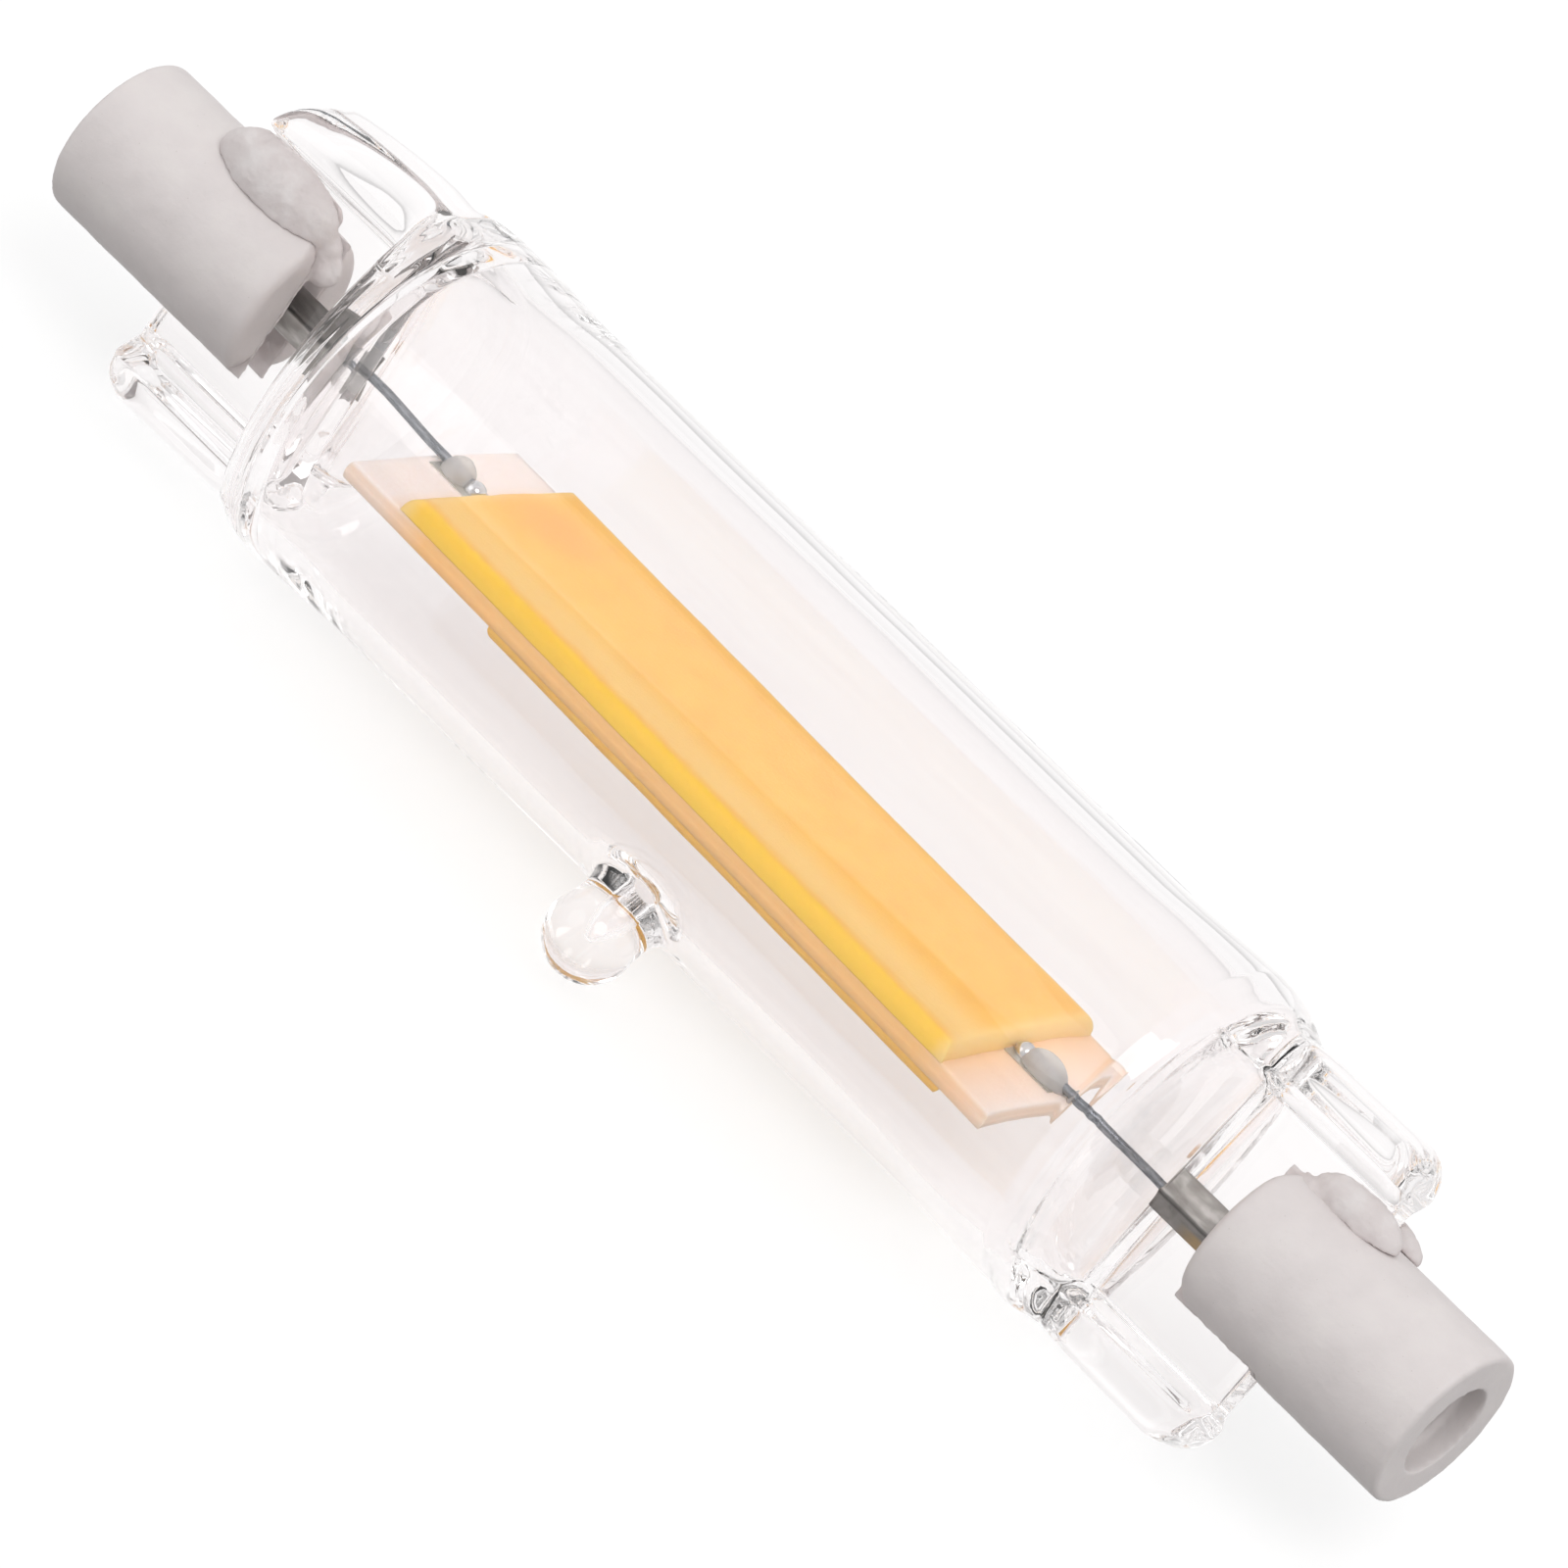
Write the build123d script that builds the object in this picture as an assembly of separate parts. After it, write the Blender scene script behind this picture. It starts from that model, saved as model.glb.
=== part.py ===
from build123d import *
import os
from math import acos, cos, degrees, radians, sin, sqrt, tan

# Double-ended linear LED lamp: a clear glass tube, pressed flat at both ends, holds one lit plate on two
# wire leads. Each flat end carries a ceramic cap with the contact sunk in its outer face.
# The lamp axis is X, with the origin on it at mid-length. The lamp lies on its tube and its exhaust tip,
# and Z is up. Every size is in millimetres and every angle in degrees.

# Whole lamp
lamp_length = 78.0
cap_end = lamp_length / 2

# Glass tube
tube_diameter = 16.0
tube_wall = 1.0
shoulder_swell = 0.2
swell_length = 5.0
shoulder_setback = 15.2
shoulder_reach = cap_end - shoulder_setback
shoulder_rounding = 2.2
bore_rounding = 1.4
shoulder_wall = 1.1

# Flat pressed ends, an I in section: a thin web between two thick edge beads
pinch_width = 15.5
bead_thickness = 5.0
bead_width = 1.9
bead_rounding = 1.5
web_thickness = 2.5
flank_run = 0.5
flank_rounding = 0.45
pinch_corner = 1.6
pinch_setback_left = 6.2
pinch_setback_right = 7.1
pinch_reach_left = cap_end - pinch_setback_left
pinch_reach_right = cap_end - pinch_setback_right
pinch_overlap = 2.5

# Exhaust tip, the sealed stub of the tube that the lamp was pumped and filled through
tip_ball_radius = 1.93
tip_height = 2.1
tip_reach = tube_diameter / 2 + tip_height
tip_along = 1.2
tip_neck_radius = 1.8
tip_neck_height = 0.75
tip_neck_reach = tube_diameter / 2 + tip_neck_height
tip_flare = 0.8
tip_root = 0.45
tip_bore_radius = 0.55
tip_bore_height = 1.3
tip_bore_reach = tube_diameter / 2 + tip_bore_height

# Angles about the axis, from +Y toward +Z. The lamp rests on its widest ring and on the tip, and each turn is
# the angle from a direction on the lamp to the tip.
rest_radius = tube_diameter / 2 + shoulder_swell
tip_angle = 270 - degrees(acos((rest_radius - tip_ball_radius) / tip_reach))
pinch_turn_left = 137.0
pinch_turn_right = 154.0
plate_turn = 136.8
plate_sag_turn = -30.0
plate_slope_turn = -20.0
pinch_angle = {"left": tip_angle - pinch_turn_left, "right": tip_angle - pinch_turn_right}
plate_normal_angle = tip_angle - plate_turn
plate_sag_angle = tip_angle - plate_sag_turn
plate_slope_angle = tip_angle - plate_slope_turn

# Lit plate: a translucent ceramic strip with phosphor on both faces
plate_setback = 19.9
plate_length = lamp_length - 2 * plate_setback
plate_width = 12.1
plate_thickness = 0.8
plate_bevel = 0.25
plate_sag = 1.0
plate_slope = 1.06
front_margin = 3.0
front_length = plate_length - 2 * front_margin
front_thickness = 0.75
front_inset_near = 0.2
front_inset_far = 0.05
front_rounding = 0.3
back_thickness = 0.4
back_margin_left = 9.1
back_margin_right = 2.5
back_start = back_margin_left - plate_length / 2
back_end = plate_length / 2 - back_margin_right
back_inset = 0.1

# Dies on the plate, under the front phosphor
chip_length = 0.8
chip_width = 0.4
chip_height = 0.15
chip_rows = 4
chip_columns = 18
chip_row_pitch = 2.4
chip_margin = 2.5
chip_column_pitch = (front_length - 2 * chip_margin) / (chip_columns - 1)
driver_length = 1.5
driver_width = 1.2
driver_height = 0.3
driver_margin = 4.2
driver_along = driver_margin - plate_length / 2
driver_across = -2.4
rectifier_length = 1.2
rectifier_width = 1.2
rectifier_height = 0.3
rectifier_along = driver_along
rectifier_across = 2.4

# Printed pads, solder and clear beads at the two ends of the plate
pad_length = 2.45
pad_width = 1.8
pad_thickness = 0.05
pad_edge = 0.5
solder_radius = 0.52
solder_from_edge = 2.45
bead_from_edge = 1.4
bead_height = 0.95
joint_across = -0.25
joint_bead_length = {"left": 1.55, "right": 2.2}
joint_bead_width = 1.5

# Wire leads and the thin foils that carry the current through the glass
lead_diameter = 0.4
lead_end_from_edge = 2.7
lead_lift = 0.03
lead_bend_gap = 0.4
lead_bend_radius = 0.9
lead_weld_setback = 11.8
lead_weld_reach = cap_end - lead_weld_setback
lead_offset = {"left": -0.1, "right": -0.85}
foil_setback = 8.4
foil_length = 7.0
foil_end = cap_end - foil_setback
foil_start = foil_end - foil_length
foil_width = 2.1
foil_thickness = 0.08
foil_fold = 14.0
weld_bite = 0.04
outer_lead_setback = 10.4
outer_lead_start = cap_end - outer_lead_setback
outer_lead_bend = 1.5

# Ceramic caps: a plug with a slot that straddles the web, and a contact sunk in its end
cap_diameter = 7.45
cap_edge_rounding = 0.2
cap_length = 11.3
prong_tip = cap_end - cap_length
prong_rounding = 0.5
prong_corner = 1.7
slot_gap = 0.2
slot_bed = 0.3
recess_diameter = 4.2
recess_depth = 1.15
seat_diameter = 3.8
lead_hole_diameter = 1.8

# Contacts, whose crown is level with the floor of the recess
contact_clearance = 0.1
contact_rim = 0.4
contact_dome = 0.2
contact_stem_diameter = 1.6
contact_stem_length = 1.6
lead_seat_depth = 1.0

# Cement that holds the caps, with what it squeezed out beside the prongs
squeeze_left = (3.4, 1.75, 1.35)
squeeze_right = (2.3, 1.05, 0.9)
squeeze_back = (2.4, 0.9, 0.8)
squeeze_setback = 3.3
cement_sliver = 0.5

pinch_reach = {"left": pinch_reach_left, "right": pinch_reach_right}
squeeze_front = {"left": squeeze_left, "right": squeeze_right}
SIDES = ("left", "right")
OUTWARD = {"left": -1, "right": 1}


def across(angle):
    """Direction square to the lamp axis, at an angle from +Y toward +Z."""
    return Vector(0, cos(radians(angle)), sin(radians(angle)))


def to_end(shape, side):
    """Carry a piece from the working end, where X points outward and the web lies in XY, to its end."""
    turned = shape if side == "right" else shape.rotate(Axis.Z, 180)
    return turned.rotate(Axis.X, pinch_angle[side])


def end_point(side, x, y, z):
    """Place of a point of the working end on the lamp."""
    direction = pinch_angle[side]
    sign = OUTWARD[side]
    return Vector(sign * x, 0, 0) + across(direction) * (sign * y) + across(direction + 90) * z


def plate_plane():
    """Plane of the lit plate at its middle: X along it, Y to its near edge, Z to its front."""
    slope = tan(radians(plate_slope))
    along = (Vector(1, 0, 0) + across(plate_slope_angle) * slope).normalized()
    normal = across(plate_normal_angle)
    normal = (normal - along * normal.dot(along)).normalized()
    return Plane(origin=across(plate_sag_angle) * plate_sag, x_dir=along, z_dir=normal)


PLATE = plate_plane()
PLATE_TOP = plate_thickness / 2


def on_plate(x, y, z):
    """Place of a point of the plate on the lamp."""
    return PLATE.from_local_coords(Vector(x, y, z))


def block(length, width, height, x, y, base):
    """Box centred at x and y that stands on a base height."""
    return Pos(x, y, base) * Box(length, width, height, align=(Align.CENTER, Align.CENTER, Align.MIN))


def tube_body(radius, reach, rounding):
    """Body of revolution about the lamp axis: a tube that swells a little and closes at each shoulder."""
    straight = reach - rounding - swell_length
    widest = radius + shoulder_swell
    with BuildSketch() as profile:
        with BuildLine():
            Line((-reach, 0), (reach, 0))
            Line((-straight, radius), (straight, radius))
            for sign in (-1, 1):
                ring = (sign * (reach - rounding), widest)
                face = (sign * reach, widest - rounding)
                Spline((sign * straight, radius), ring, tangents=((sign, 0), (sign, 0)))
                TangentArc(ring, face, tangent=(sign, 0))
                Line(face, (sign * reach, 0))
        make_face()
    return revolve(profile.sketch, Axis.X)


def pinch_section():
    """I-shaped section of a pressed end, in the YZ plane."""
    half_width = pinch_width / 2
    bead = bead_thickness / 2
    web = web_thickness / 2
    crest = half_width - bead_width
    foot = crest - flank_run
    quarter = [(foot, web), (crest, bead), (half_width, bead)]
    upper = quarter + [(half_width, -bead), (crest, -bead), (foot, -web)]
    outline = upper + [(-y, -z) for y, z in upper]
    with BuildSketch(Plane.YZ) as section:
        with BuildLine():
            Polyline(*outline, close=True)
        make_face()
        corners = section.vertices()
        outer = corners.filter_by(lambda v: abs(v.Y) > crest + bead_width / 2)
        fillet(outer, bead_rounding)
        inner = section.vertices().filter_by(lambda v: abs(v.Y) < crest + bead_width / 4)
        fillet(inner, flank_rounding)
    return section.sketch


def pinch_bar(reach):
    """Pressed end of the tube, from inside the shoulder to its rounded corners."""
    start = shoulder_reach - pinch_overlap
    bar = extrude(Pos(start, 0, 0) * pinch_section(), amount=reach - start, dir=(1, 0, 0))
    with BuildSketch() as plan:
        with Locations(((start + reach) / 2, 0)):
            Rectangle(reach - start, pinch_width)
        fillet(plan.vertices().filter_by(lambda v: v.X > reach - pinch_corner), pinch_corner)
    return bar & extrude(plan.sketch, amount=bead_thickness, both=True)


def tip_plane():
    """Plane through the tip's own axis: X outward along it, Y along the lamp."""
    return Plane(origin=(tip_along, 0, 0), x_dir=across(tip_angle), z_dir=across(tip_angle + 90))


def exhaust_tip():
    """Sealed stub on the side of the tube: a flared neck and a fire-rounded ball."""
    plane = tip_plane()
    foot = tip_neck_reach - tip_flare
    root = foot - tip_root
    hollow = 1 - sqrt(0.5)
    ball = tip_reach - sqrt(tip_ball_radius ** 2 - tip_neck_radius ** 2)
    with BuildSketch(plane) as profile:
        with BuildLine():
            Line((root, 0), (root, tip_neck_radius + tip_flare))
            Line((root, tip_neck_radius + tip_flare), (foot, tip_neck_radius + tip_flare))
            ThreePointArc(
                (foot, tip_neck_radius + tip_flare),
                (foot + tip_flare * hollow, tip_neck_radius + tip_flare * hollow),
                (tip_neck_reach, tip_neck_radius),
            )
            Line((tip_neck_reach, tip_neck_radius), (ball, tip_neck_radius))
            ThreePointArc(
                (ball, tip_neck_radius),
                (tip_reach, tip_ball_radius),
                (tip_reach + tip_ball_radius, 0),
            )
            Line((tip_reach + tip_ball_radius, 0), (root, 0))
        make_face()
    return revolve(profile.sketch, Axis((tip_along, 0, 0), across(tip_angle)))


def exhaust_bore():
    """Closed channel from the tube's bore into the tip, drawn to a point where the stub was sealed."""
    root = tube_diameter / 2 - 2 * tube_wall
    straight = tip_bore_reach - root
    with BuildSketch(tip_plane()) as profile:
        with BuildLine():
            Polyline(
                (root, 0),
                (root, tip_bore_radius),
                (root + straight, tip_bore_radius),
                (root + straight + 2 * tip_bore_radius, 0),
                close=True,
            )
        make_face()
    return revolve(profile.sketch, Axis((tip_along, 0, 0), across(tip_angle)))


def wire(points, radius, bend):
    """Round wire along straight runs joined by arcs."""
    path = FilletPolyline(*points, radius=bend)
    start = Plane(origin=path @ 0, z_dir=path % 0)
    return sweep(start * Circle(radius), path=path)


def inner_lead(side):
    """Lead from the solder on the plate to its weld on the foil."""
    sign = OUTWARD[side]
    edge = plate_length / 2
    height = PLATE_TOP + pad_thickness + lead_lift + lead_diameter / 2
    points = [
        on_plate(sign * (edge - lead_end_from_edge), joint_across, height),
        on_plate(sign * (edge + lead_bend_gap), joint_across, height),
        end_point(side, shoulder_reach - shoulder_wall, lead_offset[side], 0),
        end_point(side, lead_weld_reach, lead_offset[side], 0),
    ]
    return wire(points, lead_diameter / 2, lead_bend_radius)


def seal_foil():
    """Thin foil with a shallow fold along it, over both leads."""
    half = foil_width / 2
    fold = radians(foil_fold)
    bottom = (lead_diameter / 2 - weld_bite) / cos(fold)
    skin = foil_thickness / cos(fold)
    rise = half * tan(fold)
    outline = [(0, bottom), (half, bottom - rise), (half, bottom - rise + skin)]
    outline += [(0, bottom + skin), (-half, bottom - rise + skin), (-half, bottom - rise)]
    with BuildSketch(Plane.YZ) as section:
        with BuildLine():
            Polyline(*outline, close=True)
        make_face()
    return extrude(Pos(foil_start, 0, 0) * section.sketch, amount=foil_end - foil_start, dir=(1, 0, 0))


def contact_back():
    """Distance from the middle of the lamp to the floor of the contact's seat in the cap."""
    return cap_end - recess_depth - contact_rim - contact_dome


def outer_lead(side):
    """Lead from the foil through the cap to the contact's stem."""
    stem_end = contact_back() - contact_stem_length
    points = [
        Vector(outer_lead_start, lead_offset[side], 0),
        Vector(foil_end, lead_offset[side], 0),
        Vector(stem_end - lead_seat_depth / 2, 0, 0),
        Vector(stem_end + lead_seat_depth, 0, 0),
    ]
    return wire(points, lead_diameter / 2, outer_lead_bend)


def contact():
    """Turned contact: a domed head in its seat and a stem that the lead is welded into."""
    head = seat_diameter / 2 - contact_clearance
    back = contact_back()
    stem = contact_stem_diameter / 2
    stem_end = back - contact_stem_length
    seat = lead_diameter / 2
    crown = back + contact_rim + contact_dome
    with BuildSketch() as profile:
        with BuildLine():
            Polyline(
                (crown, 0),
                (stem_end + lead_seat_depth, 0),
                (stem_end + lead_seat_depth, seat),
                (stem_end, seat),
                (stem_end, stem),
                (back, stem),
                (back, head),
                (back + contact_rim, head),
            )
            TangentArc((crown, 0), (back + contact_rim, head), tangent=(0, 1))
        make_face()
    return revolve(profile.sketch, Axis.X)


def slot_half():
    """Half the width of the cap's slot."""
    return web_thickness / 2 + slot_gap


def slot_floor(side):
    """Distance from the middle of the lamp to the floor of the slot."""
    return pinch_reach[side] + slot_bed


def slot_block(side):
    """Space of the slot, as wide as the cap."""
    length = slot_floor(side) - prong_tip
    middle = (slot_floor(side) + prong_tip) / 2
    return Pos(middle, 0, 0) * Box(length, cap_diameter, 2 * slot_half())


def cap_rod():
    """Plain rod of the cap's diameter, from its prong tips to its outer face."""
    rod = Cylinder(cap_diameter / 2, cap_length, align=(Align.CENTER, Align.CENTER, Align.MIN))
    return Pos(prong_tip, 0, 0) * Rot(0, 90, 0) * rod


def end_cap(side):
    """Ceramic cap with rounded edges and prong corners, slot, lead hole, contact seat and recess."""
    rod = cap_rod()
    rims = rod.edges().filter_by(GeomType.CIRCLE).sort_by(Axis.X)
    rod = fillet(rims[-1], cap_edge_rounding)
    rims = rod.edges().filter_by(GeomType.CIRCLE).sort_by(Axis.X)
    rod = fillet(rims[0], prong_rounding)
    with BuildSketch() as plan:
        with Locations(((prong_tip + cap_end) / 2, 0)):
            Rectangle(cap_length, cap_diameter)
        fillet(plan.vertices().filter_by(lambda v: v.X < cap_end - prong_corner), prong_corner)
    rod &= extrude(plan.sketch, amount=cap_diameter, both=True)
    bottom = (Align.CENTER, Align.CENTER, Align.MIN)
    recess = Cylinder(recess_diameter / 2, recess_depth, align=bottom)
    seat = Cylinder(seat_diameter / 2, contact_rim + contact_dome, align=bottom)
    hole = Cylinder(lead_hole_diameter / 2, contact_back() - slot_floor(side), align=bottom)
    rod -= slot_block(side)
    rod -= Pos(cap_end - recess_depth, 0, 0) * Rot(0, 90, 0) * recess
    rod -= Pos(contact_back(), 0, 0) * Rot(0, 90, 0) * seat
    rod -= Pos(slot_floor(side), 0, 0) * Rot(0, 90, 0) * hole
    return rod


def mound(sizes, edge, face):
    """Rounded mass of cement against a prong's side, on one face of the web."""
    along, wide, high = sizes
    shape = scale(Sphere(1), by=(along, wide, high))
    middle = prong_tip + squeeze_setback
    return Pos(middle, edge * cap_diameter / 2, face * web_thickness / 2) * shape


def cap_cement(side, pinch, cap):
    """Cement in the slot, under the web's end and squeezed out beside the prongs."""
    upper = OUTWARD[side]
    body = slot_block(side) & cap_rod()
    body += mound(squeeze_front[side], upper, 1)
    body += mound(squeeze_back, upper, -1)
    body -= pinch
    body -= cap
    kept = [solid for solid in body.solids() if solid.volume > cement_sliver]
    return Compound(children=kept) if len(kept) > 1 else kept[0]


def chips():
    """Light-emitting dies in rows along the plate."""
    dies = []
    for row in range(chip_rows):
        for column in range(chip_columns):
            x = (column - (chip_columns - 1) / 2) * chip_column_pitch
            y = (row - (chip_rows - 1) / 2) * chip_row_pitch
            dies.append(block(chip_length, chip_width, chip_height, x, y, PLATE_TOP))
    return dies


def front_phosphor(dies):
    """Thick coat on the plate's front, with rounded long edges, moulded over the dies."""
    width = plate_width - front_inset_near - front_inset_far
    middle = (front_inset_far - front_inset_near) / 2
    coat = block(front_length, width, front_thickness, 0, middle, PLATE_TOP)
    crest = coat.edges().filter_by(Axis.X).group_by(Axis.Z)[-1]
    return fillet(crest, front_rounding) - dies


def dome(radius):
    """Half ball that stands on the XY plane."""
    with BuildSketch(Plane.XZ) as profile:
        with BuildLine():
            Line((0, 0), (radius, 0))
            CenterArc((0, 0), radius, 0, 90)
            Line((0, radius), (0, 0))
        make_face()
    return revolve(profile.sketch, Axis.Z)


def solder(side):
    """Dome of solder over the end of the lead, in the plate's frame."""
    x = OUTWARD[side] * (plate_length / 2 - solder_from_edge)
    return Pos(x, joint_across, PLATE_TOP + pad_thickness) * dome(solder_radius)


def clear_bead(side):
    """Drop of clear resin that ties the lead to the plate, in the plate's frame."""
    x = OUTWARD[side] * (plate_length / 2 - bead_from_edge)
    length = joint_bead_length[side]
    drop = scale(dome(1), by=(length / 2, joint_bead_width / 2, bead_height))
    drop = Pos(x, joint_across, PLATE_TOP) * drop
    reach = OUTWARD[side] * (plate_length / 2 - length)
    return drop & block(2 * length, 2 * joint_bead_width, 2 * bead_height, reach, joint_across, PLATE_TOP)


def pad(side):
    """Printed terminal pad, in the plate's frame."""
    x = OUTWARD[side] * (plate_length / 2 - pad_edge - pad_length / 2)
    return block(pad_length, pad_width, pad_thickness, x, joint_across, PLATE_TOP)


def placed(shape):
    """Carry a piece from the plate's frame onto the lamp."""
    return PLATE.location * shape


def substrate():
    """Ceramic strip with the lower edge of each end bevelled."""
    strip = Box(plate_length, plate_width, plate_thickness)
    ends = strip.edges().filter_by(Axis.Y).group_by(Axis.Z)[0]
    return chamfer(ends, plate_bevel)


pieces = {}

# The plate and what sits on it
dies = chips()
driver = block(driver_length, driver_width, driver_height, driver_along, driver_across, PLATE_TOP)
rectifier = block(
    rectifier_length, rectifier_width, rectifier_height, rectifier_along, rectifier_across, PLATE_TOP
)
back_length = back_end - back_start
back_middle = (back_end + back_start) / 2
back_coat = block(
    back_length, plate_width - 2 * back_inset, back_thickness, back_middle, 0, -PLATE_TOP - back_thickness
)
pieces["led_substrate"] = placed(substrate())
pieces["phosphor_front"] = placed(front_phosphor(dies + [driver, rectifier]))
pieces["phosphor_back"] = placed(back_coat)
pieces["led_chips"] = Compound(children=[placed(die) for die in dies])
pieces["driver_die"] = placed(driver)
pieces["rectifier_die"] = placed(rectifier)

# The two ends, from the plate outward
glass = tube_body(tube_diameter / 2, shoulder_reach, shoulder_rounding) + exhaust_tip()
for side in SIDES:
    glass += to_end(pinch_bar(pinch_reach[side]), side)
glass -= tube_body(tube_diameter / 2 - tube_wall, shoulder_reach - shoulder_wall, bore_rounding)
glass -= exhaust_bore()
for side in SIDES:
    lead = inner_lead(side)
    bright = placed(solder(side)) - lead
    foil = to_end(Pos(0, lead_offset[side], 0) * seal_foil(), side)
    outer = to_end(outer_lead(side), side)
    cap = end_cap(side)
    cement = to_end(cap_cement(side, pinch_bar(pinch_reach[side]), cap), side)
    pieces[f"terminal_pad_{side}"] = placed(pad(side))
    pieces[f"solder_joint_{side}"] = bright
    pieces[f"joint_bead_{side}"] = placed(clear_bead(side) - pad(side) - solder(side)) - lead
    pieces[f"inner_lead_{side}"] = lead
    pieces[f"seal_foil_{side}"] = foil - lead - outer
    pieces[f"outer_lead_{side}"] = outer
    pieces[f"contact_{side}"] = to_end(contact(), side)
    pieces[f"end_cap_{side}"] = to_end(cap, side)
    pieces[f"cap_cement_{side}"] = cement - outer
    glass -= lead
    glass -= outer
    glass -= pieces[f"seal_foil_{side}"]
pieces["glass_envelope"] = glass

os.makedirs("parts", exist_ok=True)
for name, shape in pieces.items():
    export_step(shape, f"parts/{name}.step")
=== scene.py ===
import math

import bmesh
import bpy
import numpy as np
from mathutils import Matrix, Vector, noise

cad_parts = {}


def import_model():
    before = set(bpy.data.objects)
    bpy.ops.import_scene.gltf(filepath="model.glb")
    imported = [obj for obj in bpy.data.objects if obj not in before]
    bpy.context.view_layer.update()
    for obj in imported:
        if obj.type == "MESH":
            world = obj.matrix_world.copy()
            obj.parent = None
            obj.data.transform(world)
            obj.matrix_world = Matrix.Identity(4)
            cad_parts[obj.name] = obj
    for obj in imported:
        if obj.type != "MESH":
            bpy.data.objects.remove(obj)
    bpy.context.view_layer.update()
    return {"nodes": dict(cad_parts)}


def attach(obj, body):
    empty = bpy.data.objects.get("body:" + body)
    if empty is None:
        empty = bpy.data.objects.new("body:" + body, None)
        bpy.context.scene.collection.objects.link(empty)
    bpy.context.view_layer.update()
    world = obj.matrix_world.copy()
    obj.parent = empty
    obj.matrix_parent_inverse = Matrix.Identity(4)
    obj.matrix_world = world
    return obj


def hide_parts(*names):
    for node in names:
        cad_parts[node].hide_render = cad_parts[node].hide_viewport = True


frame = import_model()
NODES = frame["nodes"]

# Sizes in millimetres and angles in degrees, in the frame of the CAD model. An angle about the lamp axis runs
# from +Y toward +Z. The left end is -1 and the right end 1.
MM = 0.001
SIDES = {-1: "left", 1: "right"}

# Glass tube, with the rings that it swells to at its shoulders and lies on, and its sealed exhaust tip
TUBE = 8.0
SWELL = 0.2
BORE = 7.0
REST = TUBE + SWELL
TIP_BALL = 1.93
TIP_REACH = 10.1
TIP_ALONG = 1.2
TIP_NECK = 1.8
TIP_HOLE = 3.3
TIP_BORE_HOLE = 1.25
TIP_ANGLE = 270 - math.degrees(math.acos((REST - TIP_BALL) / TIP_REACH))

# Pressed ends: an I in section, turned about the axis, with a web between two rounded edge beads
PINCH = {-1: TIP_ANGLE - 137, 1: TIP_ANGLE - 154}
PINCH_END = {-1: 32.8, 1: 31.9}
PINCH_HALF = 7.75
PINCH_CORNER = 1.6
PINCH_LIP = 0.7
BEAD_HALF = 2.5
BEAD_ROUND = 1.5
WEB_HALF = 1.25
FLANK_FROM = 5.12
FLANK_TO = 6.0
WIDE_FROM = 5.85

# Sealing foils: their reach along the lamp, and their edges and fold line across the web
FOIL_FROM = 23.6
FOIL_TO = 30.6
FOIL_SPAN = {-1: (-1.06, 1.12), 1: (-1.72, 0.28)}
FOLD_ALONG = {-1: 0.0, 1: -1.0}
FOIL_THICK = 0.07

# Plate and what lies on it. A box gives where a layer starts and stops along and across the plate. The patch is
# the middle of the darker spot in the front coat, over the control dies.
PLATE_TURN = 136.8
PLATE_SLOPE = 1.06
PLATE_SLOPE_TURN = 20
PLATE_SAG_TURN = 30
PLATE_HALF = 0.4
PLATE_BOX = (-19.1, 19.1, -6.05, 6.05)
FRONT_BOX = (-16.1, 16.1, -6.0, 5.85)
FRONT_THICK = 0.75
PATCH = (-13.6, 1.4, 1.1)
BACK_BOX = (-10.0, 16.6, -5.95, 5.95)
BACK_THICK = 0.4
JOINT_ACROSS = -0.25
SOLDER_ALONG = 16.65
SOLDER_HALF = (0.52, 0.5, 0.52)
RESIN_ALONG = 17.7
RESIN_HALF = {-1: (0.775, 0.76, 0.95), 1: (1.1, 0.76, 0.95)}

# Contact, from its stem to its crown: distance along the lamp and radius
CONTACT_CROWN = 37.84
CONTACT = [(35.65, 0.8), (37.25, 0.8), (37.25, 1.75), (37.3, 1.8), (37.62, 1.8)]
for lift in range(5, 90, 9):
    CONTACT.append((37.65 + 0.19 * math.sin(math.radians(lift)), 1.78 * math.cos(math.radians(lift))))
CONTACT.append((CONTACT_CROWN, 0.02))


def across(angle):
    """Direction square to the lamp axis."""
    a = math.radians(angle)
    return Vector((0, math.cos(a), math.sin(a)))


def linear(code):
    """Scene-linear colour of an sRGB hex code."""
    parts = [int(code[i:i + 2], 16) / 255 for i in (1, 3, 5)]
    return [p / 12.92 if p <= 0.04045 else ((p + 0.055) / 1.055) ** 2.4 for p in parts] + [1]


# The plate's own directions, along it, to its far edge and out of its front, and its middle
slope = math.tan(math.radians(PLATE_SLOPE))
P_X = (Vector((1, 0, 0)) + across(TIP_ANGLE + PLATE_SLOPE_TURN) * slope).normalized()
P_Z = across(TIP_ANGLE - PLATE_TURN)
P_Z = (P_Z - P_X * P_Z.dot(P_X)).normalized()
P_Y = P_Z.cross(P_X)
P_O = across(TIP_ANGLE + PLATE_SAG_TURN)


def on_plate(u, v, w):
    """Place of a point of the plate on the lamp."""
    return P_O + P_X * u + P_Y * v + P_Z * w


def end_point(sign, x, y, z):
    """Place of a point of a pressed end, where y runs along the web and z out of its face."""
    return Vector((sign * x, 0, 0)) + across(PINCH[sign]) * (sign * y) + across(PINCH[sign] + 90) * z


# Materials

def add(mat, kind, sockets=None, **settings):
    """Adds one node. A socket given as a value is linked, anything else is set."""
    node = mat.node_tree.nodes.new(kind)
    for key, value in settings.items():
        setattr(node, key, value)
    for key, value in (sockets or {}).items():
        if isinstance(value, bpy.types.NodeSocket):
            mat.node_tree.links.new(value, node.inputs[key])
        else:
            node.inputs[key].default_value = value
    return node


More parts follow.
